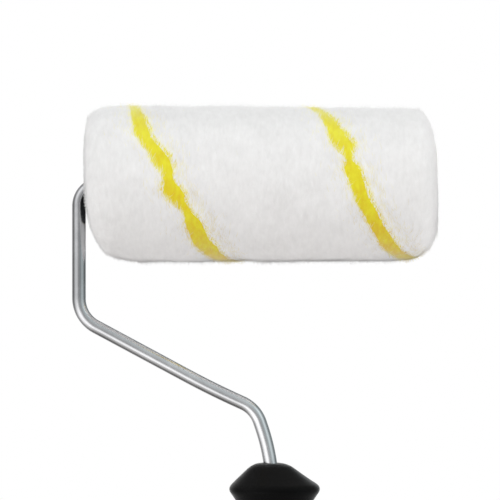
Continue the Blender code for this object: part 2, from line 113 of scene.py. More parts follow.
def lattice_noise(u, v, cells_u, cells_v, seed):
    """Smooth noise in -1..1, periodic in u, over u and v in 0..1."""
    table = np.random.default_rng(seed).uniform(-1.0, 1.0, (cells_u, cells_v + 2))
    x = np.asarray(u, float) * cells_u
    y = np.clip(np.asarray(v, float), 0.0, 1.0) * cells_v
    ix = np.floor(x).astype(int)
    iy = np.floor(y).astype(int)
    fx = x - ix
    fy = y - iy
    fx = fx * fx * (3.0 - 2.0 * fx)
    fy = fy * fy * (3.0 - 2.0 * fy)
    ix0 = ix % cells_u
    ix1 = (ix + 1) % cells_u
    low = table[ix0, iy] * (1.0 - fx) + table[ix1, iy] * fx
    high = table[ix0, iy + 1] * (1.0 - fx) + table[ix1, iy + 1] * fx
    return low * (1.0 - fy) + high * fy


def smoothed(rows, passes):
    """The rows with each inner one drawn towards its neighbours, several times."""
    for _ in range(passes):
        rows[1:-1] = 0.25 * rows[:-2] + 0.5 * rows[1:-1] + 0.25 * rows[2:]
    return rows


# ------------------------------------------------------------------ materials
class Shade:
    """A Principled material with short helpers for its procedural nodes."""

    def __init__(self, name, colour, roughness, metallic=0.0):
        self.mat = bpy.data.materials.new(name)
        self.mat.use_nodes = True
        self.tree = self.mat.node_tree
        self.shader = self.tree.nodes["Principled BSDF"]
        self.set("Base Color", (*colour, 1.0))
        self.set("Roughness", roughness)
        self.set("Metallic", metallic)
        self.coords = self.tree.nodes.new("ShaderNodeTexCoord").outputs["Object"]

    def set(self, socket, value):
        self.shader.inputs[socket].default_value = value

    def height(self):
        """Height above the frame's origin, in metres."""
        node = self.tree.nodes.new("ShaderNodeSeparateXYZ")
        self.tree.links.new(self.coords, node.inputs["Vector"])
        return node.outputs["Z"]

    def mapping(self, scale):
        node = self.tree.nodes.new("ShaderNodeMapping")
        node.inputs["Scale"].default_value = scale
        self.tree.links.new(self.coords, node.inputs["Vector"])
        return node.outputs["Vector"]

    def noise(self, scale, detail, rough, stretch=None):
        node = self.tree.nodes.new("ShaderNodeTexNoise")
        node.inputs["Scale"].default_value = scale
        node.inputs["Detail"].default_value = detail
        node.inputs["Roughness"].default_value = rough
        source = self.mapping(stretch) if stretch else self.coords
        self.tree.links.new(source, node.inputs["Vector"])
        return node.outputs["Fac"]

    def voronoi(self, scale):
        node = self.tree.nodes.new("ShaderNodeTexVoronoi")
        node.inputs["Scale"].default_value = scale
        self.tree.links.new(self.coords, node.inputs["Vector"])
        return node.outputs["Distance"]

    def ramp(self, factor, stops):
        node = self.tree.nodes.new("ShaderNodeValToRGB")
        elements = node.color_ramp.elements
        while len(elements) < len(stops):
            elements.new(0.5)
        for element, (place, colour) in zip(elements, stops):
            element.position = place
            element.color = (*colour, 1.0)
        self.tree.links.new(factor, node.inputs["Fac"])
        return node.outputs["Color"]

    def span(self, factor, low, high, start=0.3, end=0.7):
        node = self.tree.nodes.new("ShaderNodeMapRange")
        node.inputs["From Min"].default_value = start
        node.inputs["From Max"].default_value = end
        node.inputs["To Min"].default_value = low
        node.inputs["To Max"].default_value = high
        self.tree.links.new(factor, node.inputs["Value"])
        return node.outputs["Result"]

    def math(self, operation, a, b):
        node = self.tree.nodes.new("ShaderNodeMath")
        node.operation = operation
        for index, value in enumerate((a, b)):
            if isinstance(value, (int, float)):
                node.inputs[index].default_value = value
            else:
                self.tree.links.new(value, node.inputs[index])
        return node.outputs["Value"]

    def link(self, output, socket):
        self.tree.links.new(output, self.shader.inputs[socket])

    def bump(self, height, distance_mm, strength):
        node = self.tree.nodes.new("ShaderNodeBump")
        node.inputs["Strength"].default_value = strength
        node.inputs["Distance"].default_value = distance_mm * MM
        self.tree.links.new(height, node.inputs["Height"])
        self.tree.links.new(node.outputs["Normal"], self.shader.inputs["Normal"])

    def paint(self, obj):
        obj.data.materials.clear()
        obj.data.materials.append(self.mat)


def bright_wire_steel():
    """Zinc plate, bright on the slant and painted darker above the low bend: painted shade for the dimmer
    reflections of the leg.
    """
    s = Shade("bright_zinc_wire", (0.70, 0.71, 0.73), 0.2, 1.0)
    # painted shade: the colour darkens from 0.18 to 0.22 m up, on the wire's leg
    height = s.span(s.height(), 0.0, 0.45, 0.18, 0.22)
    streak = s.noise(60.0, 4.0, 0.6)
    fine = s.noise(900.0, 4.0, 0.6)
    # random plating streaks, less the painted shade of the leg
    streak_and_painted_leg_shade = s.math("SUBTRACT", streak, height)
    s.link(s.ramp(streak_and_painted_leg_shade, [(0.0, (0.50, 0.505, 0.52)), (0.7, (0.84, 0.845, 0.86))]), "Base Color")
    s.link(s.span(streak, 0.16, 0.28), "Roughness")
    s.bump(fine, 0.004, 0.5)
    return s


def plain_steel(name, colour, roughness):
    s = Shade(name, colour, roughness, 1.0)
    grime = s.noise(140.0, 5.0, 0.6)
    fine = s.noise(1500.0, 3.0, 0.5)
    dark = tuple(c * 0.78 for c in colour)
    s.link(s.ramp(grime, [(0.32, dark), (0.66, colour)]), "Base Color")
    s.link(s.span(grime, roughness - 0.08, roughness + 0.12), "Roughness")
    s.bump(fine, 0.015, 0.5)
    return s


def moulded_plastic(name, colour, roughness, grain_mm=0.035, grain_scale=2600.0, gloss=0.5, bloom=0.0):
    s = Shade(name, colour, roughness)
    s.set("Sheen Weight", bloom)
    s.set("Specular IOR Level", gloss)
    broad = s.noise(35.0, 4.0, 0.6)
    grain = s.voronoi(grain_scale)
    fine = s.noise(grain_scale * 0.6, 3.0, 0.6)
    light = tuple(c * 1.35 + 0.0002 for c in colour)
    s.link(s.ramp(broad, [(0.3, colour), (0.75, light)]), "Base Color")
    s.link(s.span(broad, roughness - 0.05, roughness + 0.07), "Roughness")
    s.bump(s.math("ADD", grain, fine), grain_mm, 0.7)
    return s


def nap_shade(name, stops, bump_mm=0.0, painted_underside_shade=0.0):
    """Dyed fibre with a soft sheen; a shade amount paints the colour darker and deeper towards the nap's
    underside, as painted shade.
    """
    s = Shade(name, stops[0][1], 0.95)
    s.set("Specular IOR Level", 0.0)
    s.set("Sheen Weight", SHEEN)
    s.set("Sheen Roughness", 0.5)
    broad = s.noise(70.0, 4.0, 0.6)
    fine = s.noise(520.0, 3.0, 0.65, (1.0, 0.4, 0.4))
    mixed = s.math("ADD", s.math("MULTIPLY", broad, 0.45), s.math("MULTIPLY", fine, 0.55))
    # painted shade: the lower a point sits, the further down the ramp its colour goes
    if painted_underside_shade:
        mixed = s.math("ADD", mixed, s.span(s.height(), -painted_underside_shade, painted_underside_shade, *NAP_HEIGHTS))
    s.link(s.ramp(mixed, stops), "Base Color")
    if bump_mm:
        s.bump(fine, bump_mm, 0.5)
    return s


# ------------------------------------------------------------------ the bent wire
def fillet(before, corner, after, radius):
    """Points of the arc that rounds a corner."""
    back = (before - corner).normalized()
    ahead = (after - corner).normalized()
    turn = math.pi - back.angle(ahead)
    reach = radius * math.tan(turn / 2.0)
    centre = corner + (back + ahead).normalized() * (radius / math.cos(turn / 2.0))
    first = corner + back * reach - centre
    last = corner + ahead * reach - centre
    points = []
    for i in range(BEND_STEPS + 1):
        t = i / BEND_STEPS
        arc = math.sin((1.0 - t) * turn) * first + math.sin(t * turn) * last
        points.append(centre + arc / math.sin(turn))
    return points


def wire_path():
    """The wire's centreline from the axle's free end to the tang, with how tightly it bends."""
    corners = [
        Vector((AXLE_FREE_END_X, 0.0, AXLE_Z)),
        Vector((LEG_X, 0.0, AXLE_Z)),
        Vector((LOW_BEND[0], 0.0, LOW_BEND[1])),
        Vector((SLANT_EASE[0], 0.0, SLANT_EASE[1])),
        Vector((NECK_BEND[0], 0.0, NECK_BEND[1])),
        Vector((TANG_X, 0.0, HANDLE_LINE_Z)),
        Vector((TANG_X, 0.0, TANG_END_Z)),
    ]
    path = [(corners[0], 0.0)]
    for i, radius in enumerate(BEND_RADII):
        bend = fillet(corners[i], corners[i + 1], corners[i + 2], radius)
        strength = 1.0 if radius < GENTLE_BEND_R else 0.0
        for k, point in enumerate(bend):
            path.append((point, strength * math.sin(math.pi * k / BEND_STEPS)))
    path.append((corners[-1], 0.0))
    return path


def build_wire():
    path = wire_path()
    points = [p for p, _ in path]
    bends = [b for _, b in path]
    # chamfered ends
    start = points[0]
    end = points[-1]
    points = [start, start - Vector((0.5, 0, 0)), start - Vector((1.0, 0, 0))] + points[1:-1]
    points += [end + Vector((0, 0, 1.0)), end]
    bends = [0.0, 0.0, 0.0] + bends[1:-1] + [0.0, 0.0]
    radii = [WIRE_R - END_CHAMFER, WIRE_R - END_EASE]
    radii += [WIRE_R] * (len(points) - 3) + [WIRE_R - END_CHAMFER]
    rings = []
    for i, point in enumerate(points):
        before = points[max(i - 1, 0)]
        after = points[min(i + 1, len(points) - 1)]
        along = (after - before).normalized()
        side = along.cross(Vector((0.0, 1.0, 0.0)))
        flat = 1.0 - BEND_SQUASH * bends[i]
        wide = 1.0 + BEND_SPREAD * bends[i]
        ring = []
        for j in range(WIRE_SIDES):
            a = 2.0 * math.pi * j / WIRE_SIDES
            offset = side * (math.cos(a) * flat) + Vector((0.0, math.sin(a) * wide, 0.0))
            ring.append(point + offset * radii[i])
        rings.append([tuple(v) for v in ring])
    wire = tube("bent_wire", rings, sharp=40.0)
    bright_wire_steel().paint(wire)
    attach(wire, "frame")
    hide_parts("frame_wire")


# ------------------------------------------------------------------ the handle
# height and half width
GRIP_STATIONS = (
    (0.0, 18.5), (8.0, 18.3), (14.0, 16.6), (24.0, 15.9), (40.0, 16.4),
    (60.0, 17.2), (78.0, 16.2), (92.0, 14.2), (98.0, 13.7),
)
# height, left edge and right edge
GUARD_STATIONS = (
    (97.0, -13.75, 13.75), (99.6, -13.85, 13.85), (103.0, -15.55, 15.75), (108.2, -19.0, 19.5),
    (111.4, -21.1, 21.6), (112.8, -22.15, 22.6), (114.0, -22.75, 23.25), (115.2, -22.8, 23.3),
    (116.3, -22.4, 22.9), (117.4, -21.5, 21.8), (119.6, -19.3, 18.4), (122.4, -16.4, 14.35),
    (125.2, -13.45, 10.5), (126.6, -11.65, 8.4), (127.7, -9.4, 5.5), (128.0, -7.6, 3.6),
)
GUARD_DEPTH_RATIO = 0.82
GRIP_OVAL = 0.8
SECTION_POWER = 2.25
SLEEVE_BOTTOM_Z = 14.0
SLEEVE_TOP_Z = 97.0
SEAM_HEIGHT = 0.12
SEAM_WIDTH = 0.28
HANDLE_SIDES = 88
GUARD_SAMPLES = 90
BUTT_BORE_R = 11.4
BUTT_BORE_TOP_Z = 36.0
SLEEVE_RECESS = 2.3
SLEEVE_THICK = 2.0
# where the wire goes in
MOUTH_X = -1.97
MOUTH_R = 3.8
GROOVE_COUNT = 6
GROOVE_FIRST_Z = 34.0
GROOVE_PITCH = 8.5
GROOVE_HALF_WIDTH = 1.25
GROOVE_DEPTH = 0.95
GROOVE_STEPS = 12
RIDGE_CROWN = 0.12
BLACK_PLASTIC = (0.0003, 0.0003, 0.00035)
BLACK_RUBBER = (0.006, 0.006, 0.0065)


def handle_angles():
    """Even angles with extra ones beside the two mould lines."""
    even = [2.0 * math.pi * j / HANDLE_SIDES for j in range(HANDLE_SIDES)]
    extra = []
    for base in (0.0, math.pi):
        extra += [base + d for d in (-0.030, -0.018, -0.009, 0.009, 0.018, 0.030)]
    return sorted(a % (2.0 * math.pi) for a in even + extra)


ANGLES = handle_angles()


def section(z, left, right, depth, seam=1.0):
    """Squashed oval between two edges, with its mould lines."""
    middle = (left + right) / 2.0
    half = (right - left) / 2.0
    power = 2.0 / SECTION_POWER
    ring = []
    for a in ANGLES:
        c = math.cos(a)
        s = math.sin(a)
        x = half * math.copysign(abs(c) ** power, c)
        y = depth * math.copysign(abs(s) ** power, s)
        lift = seam * SEAM_HEIGHT * math.exp(-((y / SEAM_WIDTH) ** 2))
        ring.append((middle + x + math.copysign(lift, c), y, z))
    return ring


def round_section(z, x, radius):
    return [(x + radius * math.cos(a), radius * math.sin(a), z) for a in ANGLES]


def grip_half_width(z):
    for (z0, w0), (z1, w1) in zip(GRIP_STATIONS, GRIP_STATIONS[1:]):
        if z <= z1:
            t = max(0.0, (z - z0) / (z1 - z0))
            return w0 + (w1 - w0) * t * t * (3.0 - 2.0 * t)
    return GRIP_STATIONS[-1][1]


def grip_section(z, inset, seam=1.0):
    """The grip's oval at a height, set in from its skin."""
    half = grip_half_width(z) - inset
    return section(z, -half, half, half - GRIP_OVAL, seam)


def smooth_guard():
    """Rounded guard profile through its stations, as rows of height, left and right."""
    rows = np.array(GUARD_STATIONS)
    steps = np.hypot(np.diff(rows[:, 0]), np.diff(rows[:, 2]))
    place = np.concatenate([[0.0], np.cumsum(steps)])
    dense = np.linspace(0.0, place[-1], GUARD_SAMPLES)
    out = np.stack([np.interp(dense, place, rows[:, k]) for k in range(3)], axis=1)
    return smoothed(out, 2)


def build_handle():
    rings = [round_section(BUTT_BORE_TOP_Z, 0.0, BUTT_BORE_R), round_section(0.6, 0.0, BUTT_BORE_R)]
    rings.append(round_section(0.0, 0.0, BUTT_BORE_R + 0.6))
    rings += [grip_section(0.0, 1.5, 0.0), grip_section(0.12, 0.9, 0.3), grip_section(0.55, 0.35)]
    rings += [grip_section(1.3, 0.05), grip_section(4.0, 0.0), grip_section(8.0, 0.0)]
    for z in (9.5, 11.0, 12.5, 13.4):
        rings.append(grip_section(z, 0.0))
    rings += [grip_section(13.8, 0.12), grip_section(SLEEVE_BOTTOM_Z, 0.45, 0.0)]
    for z in (SLEEVE_BOTTOM_Z, 30.0, 50.0, 70.0, 90.0, SLEEVE_TOP_Z):
        rings.append(grip_section(z, SLEEVE_RECESS, 0.0))
    rings.append(grip_section(SLEEVE_TOP_Z, 0.45, 0.0))
    for z, left, right in smooth_guard():
        inset = 0.3 * max(0.0, 1.0 - (z - SLEEVE_TOP_Z) / 0.5)
        depth = (right - left) / 2.0 * GUARD_DEPTH_RATIO
        rings.append(section(z, left + inset, right - inset, depth - inset))
    rings.append(round_section(128.05, MOUTH_X, 4.35))
    rings.append(round_section(127.8, MOUTH_X, 3.95))
    rings.append(round_section(127.2, MOUTH_X + 0.1, MOUTH_R))
    rings.append(round_section(121.0, MOUTH_X + 0.8, MOUTH_R))
    handle = tube("moulded_handle", rings, sharp=50.0)
    moulded_plastic("black_moulded_plastic", BLACK_PLASTIC, 0.32, gloss=0.06, bloom=0.10).paint(handle)
    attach(handle, "frame")
    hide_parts("handle_core")


def build_grip():
    """Soft sleeve with ring grooves, round the handle's recess."""
    low = SLEEVE_BOTTOM_Z + 0.25
    high = SLEEVE_TOP_Z - 0.25
    rings = [grip_section(low, SLEEVE_THICK, 0.0), grip_section(low, 0.7, 0.0)]
    rings += [grip_section(low + 0.2, 0.25, 0.0), grip_section(low + 0.7, 0.0, 0.0)]
    for z in (20.0, 25.0, 30.0):
        rings.append(grip_section(z, 0.0, 0.0))
    for i in range(GROOVE_COUNT):
        z = GROOVE_FIRST_Z + GROOVE_PITCH * i
        for step in range(GROOVE_STEPS + 1):
            t = -1.0 + step / (GROOVE_STEPS / 2.0)
            depth = GROOVE_DEPTH * (0.5 + 0.5 * math.cos(math.pi * t)) ** 0.7
            rings.append(grip_section(z + GROOVE_HALF_WIDTH * t, depth, 0.0))
        rings.append(grip_section(z + GROOVE_PITCH / 2.0, -RIDGE_CROWN, 0.0))
    for z in (84.0, 88.0, 92.0, 95.0):
        rings.append(grip_section(z, 0.0, 0.0))
    rings += [grip_section(high - 0.7, 0.0, 0.0), grip_section(high - 0.2, 0.25, 0.0)]
    rings += [grip_section(high, 0.7, 0.0), grip_section(high, SLEEVE_THICK, 0.0)]
    for z in (80.0, 60.0, 40.0):
        rings.append(grip_section(z, SLEEVE_THICK, 0.0))
    grip = tube("soft_grip", rings, closed_rings=True, sharp=50.0)
    moulded_plastic("soft_black_rubber", BLACK_RUBBER, 0.72, 0.05, 1800.0, 0.2).paint(grip)
    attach(grip, "frame")
    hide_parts("grip_sleeve")


# ------------------------------------------------------------------ the nap
# the nap's four shoulders: distance in from the end and down from the full radius
LEFT_TOP = ((0.6, 17.5), (0.0, 11.0), (0.1, 7.6), (1.3, 5.7), (3.2, 3.7), (5.9, 1.7), (11.5, 0.0))
LEFT_UNDER = ((2.7, 17.5), (3.6, 14.0), (5.2, 10.5), (7.2, 6.7), (9.4, 4.3), (13.7, 2.2), (25.5, 0.1))
RIGHT_TOP = ((1.9, 17.5), (3.0, 13.3), (4.3, 9.2), (6.2, 5.6), (7.6, 3.6), (10.0, 2.1), (20.0, 1.3))
RIGHT_UNDER = ((0.0, 17.5), (1.9, 12.5), (3.2, 8.6), (4.9, 5.8), (8.6, 3.0), (12.5, 1.3), (20.0, 0.8))
NAP_INSET = 0.7
NAP_AROUND = 300
SHOULDER_SAMPLES = 52
MIDDLE_SAMPLES = 190
LEFT_CUT_POWER = 6.0
LOCK_SINK = 0.7
LOCK_CROWN = 0.5
LOCK_SCATTER = 0.11
LOCK_CURL = 0.22
# a lock's widest place: share of its length, of its rise and of its curl
KNEE_LENGTH = 0.42
KNEE_RISE = 0.8
KNEE_CURL = 0.35
# fibres are wispy or locked: shares, then ranges of length, width and rise
WISPY_SHARE = 0.4
WISPY_LENGTH = (2.5, 5.0)
WISPY_WIDTH = (0.03, 0.06)
WISPY_RISE = 0.5
WISPY_RISE_SPREAD = 0.55
LOCKED_LENGTH = (3.5, 7.0)
LOCKED_WIDTH = (0.08, 0.16)
LOCKED_RISE = (0.05, 0.5)
HIGHEST_RISE = 2.4
LEAN_FLOW = 0.35
LEAN_SCATTER = 0.16
# at the end faces the fibres point outwards
END_OUTWARD = 0.7
END_RISE_LOSS = 0.5
YELLOW_LENGTH = 0.5
YELLOW_LIFT = 0.2
SCATTER_EDGE = 0.015
WHITE_PER_PIECE = 33000
YELLOW_TRIES = 230000
# the combed valley beside the yellow line
VALLEY_DEPTH = 0.6
VALLEY_OFFSET = 8.5
VALLEY_REACH = 2.6


def half_outline(left, right):
    """Dense outline (x, radius) of the nap from the left bore edge to the right bore edge."""
    points = [(CORE_LEFT_X + 0.2, BORE_R)]
    points += [(PILE_LEFT_X + NAP_INSET + x, PILE_R - NAP_INSET - down) for x, down in left]
    points += [(PILE_RIGHT_X - NAP_INSET - x, PILE_R - NAP_INSET - down) for x, down in reversed(right)]
    points.append((CORE_RIGHT_X - 0.2, BORE_R))
    points = np.array(points)
    shoulder = len(left)
    rows = []
    for block, count in ((points[:shoulder + 1], SHOULDER_SAMPLES),
                         (points[shoulder:shoulder + 2], MIDDLE_SAMPLES),
                         (points[shoulder + 1:], SHOULDER_SAMPLES)):
        steps = np.hypot(*np.diff(block, axis=0).T)
        place = np.concatenate([[0.0], np.cumsum(steps)])
        dense = np.linspace(0.0, place[-1], count, endpoint=False)
        rows.append(np.stack([np.interp(dense, place, block[:, k]) for k in range(2)], axis=1))
    rows.append(points[-1:])
    return smoothed(np.concatenate(rows), 14)


TOP_OUTLINE = half_outline(LEFT_TOP, RIGHT_TOP)
UNDER_OUTLINE = half_outline(LEFT_UNDER, RIGHT_UNDER)


# turns from the top and place along the axle of the yellow line's middle
STRIPE_PATH = (
    (-1.0, -163.0), (-0.20, -90.5), (-0.07, -81.0), (0.0, -73.0), (0.15, -66.0), (0.20, -57.0),
    (0.29, -49.0), (0.32, -42.0), (0.38, -37.0), (0.50, -23.0), (0.62, -12.5), (0.80, 2.5), (1.0, 17.0),
    (1.10, 27.5), (1.20, 37.0), (1.28, 43.0), (1.38, 55.5), (1.50, 70.0), (1.80, 95.5), (3.0, 200.0),
)
STRIPE_HALF = 3.9
# the line is thinner where it passes over the top
STRIPE_TAPER = 2.1
STRIPE_TAPER_TURN = 0.02
STRIPE_TAPER_LENGTH = 0.075
# lumps and waists of the line: turn, change of its half width, length in turns
STRIPE_LUMPS = (
    (0.21, 0.7, 0.02), (0.243, -1.9, 0.012), (0.275, 1.6, 0.015), (0.315, -1.6, 0.014),
    (0.40, 1.2, 0.045), (1.168, 1.6, 0.016), (1.203, -2.6, 0.012),
)
WHITE_DYE = [(0.30, (0.80, 0.798, 0.793)), (0.70, (0.92, 0.92, 0.918))]
# the painted underside shade also reaches the darker low stops of the ramps below
YELLOW_DYE = [(0.30, (0.76, 0.54, 0.02)), (0.50, (0.80, 0.70, 0.025)), (0.70, (0.86, 0.81, 0.035))]
FRINGE_DYE = [(0.30, (0.77, 0.66, 0.34)), (0.50, (0.85, 0.79, 0.41)), (0.70, (0.90, 0.88, 0.45))]
# pale dye bleed, whose beige stops also paint the seam shadow beside the line
BLEED_AND_PAINTED_SHADE = [(0.30, (0.74, 0.67, 0.50)), (0.50, (0.84, 0.80, 0.60)), (0.70, (0.90, 0.88, 0.64))]
# heights in metres over which the painted underside shade fades from the underside up to the top
NAP_HEIGHTS = (0.240, 0.300)
SHEEN = 0.6
NAP_LEFT_STOP = -96.05
# the dyed strip: its turns, its section, and how far it strays
BED_START = -0.23
BED_END = 1.79
BED_STEPS_PER_TURN = 150
BED_ACROSS = (-1.0, -0.72, -0.38, 0.0, 0.38, 0.72, 1.0)
BED_LIFT = (-0.25, 0.12, 0.26, 0.32, 0.26, 0.12, -0.25)
BED_THICK = 1.2
BED_WIDER = 1.2
BED_WOBBLE = 0.6
BED_SWAY = 0.35
# the dyed fibres reach past the line's half width, and their last part is a pale fringe
LINE_WIDER = 1.25
FRINGE_WIDTH = 0.7
FRINGE_RAGGED = 0.6
WHITE_GAP = 0.3


def stripe_x(turn):
    """Place along the axle of the yellow line's middle."""
    turns, middles = zip(*STRIPE_PATH)
    return np.interp(turn, turns, middles)


def stripe_half_width(turn):
    past_top = (turn - np.round(turn) - STRIPE_TAPER_TURN) / STRIPE_TAPER_LENGTH
    half = STRIPE_HALF - STRIPE_TAPER * np.exp(-(past_top ** 2))
    for middle, change, length in STRIPE_LUMPS:
        half = half + change * np.exp(-(((turn - middle) / length) ** 2))
    return half


def nap_surface(u, s):
    """Points and outward normals of the brushed nap at turn u and outline place s, both 0..1."""
    count = TOP_OUTLINE.shape[0] - 1
    place = np.clip(s, 0.0, 1.0) * count
    low = (1.0 - np.cos(2.0 * np.pi * u)) / 2.0
    index = np.arange(count + 1)
    # the left end is cut back only close to its lowest point
    rightness = np.clip((place - SHOULDER_SAMPLES) / MIDDLE_SAMPLES, 0.0, 1.0)
    low = low ** LEFT_CUT_POWER * (1.0 - rightness) + low * rightness

    def outline_at(where):
        top = np.stack([np.interp(where, index, TOP_OUTLINE[:, k]) for k in range(2)], -1)
        under = np.stack([np.interp(where, index, UNDER_OUTLINE[:, k]) for k in range(2)], -1)
        return top * (1.0 - low)[..., None] + under * low[..., None]

    here = outline_at(place)
    ahead = outline_at(np.clip(place + 0.5, 0, count))
    behind = outline_at(np.clip(place - 0.5, 0, count))
    slope = ahead - behind
    length = np.maximum(np.hypot(slope[..., 0], slope[..., 1]), 1e-6)
    out_x = -slope[..., 1] / length
    out_r = slope[..., 0] / length
    angle = 2.0 * np.pi * u
    radial = np.stack([np.zeros_like(angle), -np.sin(angle), np.cos(angle)], -1)
    centre = np.array([0.0, 0.0, AXLE_Z])
    points = centre + radial * here[..., 1:2]
    points[..., 0] += here[..., 0]
    normals = radial * out_r[..., None]
    normals[..., 0] += out_x
    around = np.stack([np.zeros_like(angle), -np.cos(angle), -np.sin(angle)], -1)
    return points, normals, around, here[..., 0]


def stripe_distance(u, x):
    """Signed distance along the axle from the nearest pass of the yellow line, and its half width."""
    best = np.full(np.shape(u), 1e3)
    half = np.zeros(np.shape(u))
    for lap in (-1, 0, 1, 2):
        d = x - stripe_x(u + lap)
        nearer = np.abs(d) < np.abs(best)
        half = np.where(nearer, stripe_half_width(u + lap), half)
        best = np.where(nearer, d, best)
    return best, half


def nap_height(u, s, x):
    """Lumps, streaks and the valley beside the yellow line, in millimetres."""
    lumps = 0.42 * lattice_noise(u, s, 22, 18, 11) + 0.24 * lattice_noise(u, s, 46, 42, 12)
    streaks = 0.13 * lattice_noise(u, s, 60, 120, 13) + 0.05 * lattice_noise(u, s, 130, 260, 14)
    past_valley = (stripe_distance(u, x)[0] - VALLEY_OFFSET) / VALLEY_REACH
    valley = -VALLEY_DEPTH * np.exp(-(past_valley ** 2))
    fade = np.clip(np.minimum(s, 1.0 - s) / 0.06, 0.0, 1.0)
    return (lumps + streaks + valley) * fade


def lump_tilt(u, s, x, around):
    """How far the lumps turn the surface's normals."""
    step = 0.0015
    rise_u = nap_height(u + step, s, x) - nap_height(u - step, s, x)
    ahead = nap_surface(u, np.clip(s + step, 0.0, 1.0))
    behind = nap_surface(u, np.clip(s - step, 0.0, 1.0))
    rise_s = nap_height(u, s + step, ahead[3]) - nap_height(u, s - step, behind[3])
    along = ahead[0] - behind[0]
    run_s = np.maximum(np.linalg.norm(along, axis=1), 1e-6)
    run_u = 4.0 * math.pi * step * PILE_R
    return around * (rise_u / run_u)[:, None] + along * (rise_s / run_s ** 2)[:, None]


def build_nap_base(shade):
    """The closed, lumpy body of the nap, under its fibres."""
    rows = TOP_OUTLINE.shape[0]
    u = (np.arange(NAP_AROUND) / NAP_AROUND)[None, :].repeat(rows, 0)
    s = (np.arange(rows) / (rows - 1))[:, None].repeat(NAP_AROUND, 1)
    points, normals, _, x = nap_surface(u, s)
    points = points + normals * nap_height(u, s, x)[..., None]
    bore_rings = []
    angle = 2.0 * np.pi * u[0]
    radius = BORE_R - 0.25
    for bx in (CORE_RIGHT_X - 0.2, CORE_LEFT_X + 0.2):
        ring = (np.full(NAP_AROUND, bx), -radius * np.sin(angle), AXLE_Z + radius * np.cos(angle))
        bore_rings.append(np.stack(ring, -1)[None])
    rings = np.concatenate([points] + bore_rings)
    base = tube("nap_white_base", rings, closed_rings=True)
    shade.paint(base)
    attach(base, "cover")
    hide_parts("pile_sleeve")


def strands(name, roots, normals, lean, length, width, rise, shading, rng):
    """Closed flat locks of fibre, pointed at both ends, lying along the surface.

    Their shading normals follow the nap, as a dense pile does, with a little scatter."""
    count = len(roots)
    side = np.cross(normals, lean)
    side /= np.linalg.norm(side, axis=1, keepdims=True)
    base = roots - normals * LOCK_SINK
    knee = roots + lean * (length * KNEE_LENGTH)[:, None] + normals * (rise * KNEE_RISE)[:, None]
    tip = roots + lean * length[:, None] + normals * rise[:, None]
    curl = rng.normal(0.0, LOCK_CURL, (count, 1)) * length[:, None]
    knee += side * curl * KNEE_CURL
    tip += side * curl
    vertices = np.empty((count, 5, 3))
    vertices[:, 0] = base
    vertices[:, 1] = knee - side * width[:, None]
    vertices[:, 2] = knee + side * width[:, None]
    vertices[:, 3] = knee + normals * (width * LOCK_CROWN)[:, None]
    vertices[:, 4] = tip
    # the left end spins past the wire's leg without touching it
    vertices[..., 0] = np.maximum(vertices[..., 0], NAP_LEFT_STOP)
    pattern = np.array([(0, 2, 1), (0, 3, 2), (0, 1, 3), (4, 1, 2), (4, 2, 3), (4, 3, 1)])
    faces = (np.arange(count)[:, None, None] * 5 + pattern[None]).reshape(-1, 3)
    obj = make_mesh(name, vertices.reshape(-1, 3), faces.tolist())
    shading = shading + rng.normal(0.0, LOCK_SCATTER, (count, 3))
    shading /= np.linalg.norm(shading, axis=1, keepdims=True)
    obj.data.normals_split_custom_set_from_vertices(np.repeat(shading, 5, axis=0).tolist())
    return obj


def scatter(count, rng):
    u = rng.uniform(0.0, 1.0, count)
    s = rng.uniform(SCATTER_EDGE, 1.0 - SCATTER_EDGE, count)
    return u, s


def build_fuzz(name, shade, u, s, seed, yellow, lift=0.0):
    """One piece of fibres rooted at the places u and s, brushed round the cover."""
    rng = np.random.default_rng(seed)
    points, normals, around, x = nap_surface(u, s)
    points = points + normals * nap_height(u, s, x)[..., None]
    count = len(u)
    end_face = np.clip(np.abs(normals[:, 0]), 0.0, 1.0)
    flow = lattice_noise(u, s, 22, 16, 31)
    axial = np.zeros_like(points)
    axial[:, 0] = 1.0
    tilt = LEAN_FLOW * flow + rng.normal(0.0, LEAN_SCATTER, count)
    lean = axial * tilt[:, None] - around
    outward = points - np.array([0.0, 0.0, AXLE_Z])
    outward[:, 0] = 0.0
    outward /= np.linalg.norm(outward, axis=1, keepdims=True)
    end_share = END_OUTWARD * end_face
    lean = lean * (1.0 - end_share)[:, None] + outward * end_share[:, None]
    lean -= normals * np.sum(lean * normals, axis=1, keepdims=True)
    lean /= np.linalg.norm(lean, axis=1, keepdims=True)
    wispy = rng.uniform(0.0, 1.0, count) < WISPY_SHARE
    length = np.where(wispy, rng.uniform(*WISPY_LENGTH, count), rng.uniform(*LOCKED_LENGTH, count))
    wispy_rise = WISPY_RISE + rng.exponential(WISPY_RISE_SPREAD, count)
    rise = np.where(wispy, wispy_rise, rng.uniform(*LOCKED_RISE, count))
    rise = np.minimum(rise, HIGHEST_RISE) * (1.0 - END_RISE_LOSS * end_face)
    rise += lift
    if yellow:
        length *= YELLOW_LENGTH
    width = np.where(wispy, rng.uniform(*WISPY_WIDTH, count), rng.uniform(*LOCKED_WIDTH, count))
    shading = normals - lump_tilt(u, s, x, around)
    fuzz = strands(name, points, normals, lean, length, width, rise, shading, rng)
    shade.paint(fuzz)
    # shadows and reflections of fibres this fine would only speckle what is round them
    fuzz.visible_shadow = False
    fuzz.visible_diffuse = False
    fuzz.visible_glossy = False
    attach(fuzz, "cover")
    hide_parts("pile_stripe" if yellow else "pile_sleeve")


def place_on_nap(u, x):
    """The outline place s of each point at turn u and distance x along the axle."""
    steps = np.linspace(0.02, 0.98, 420)
    out = np.empty(len(u))
    for index, (one_u, one_x) in enumerate(zip(u, x)):
        along = nap_surface(np.full(steps.shape, one_u), steps)[3]
        out[index] = np.interp(one_x, np.maximum.accumulate(along), steps)
    return out


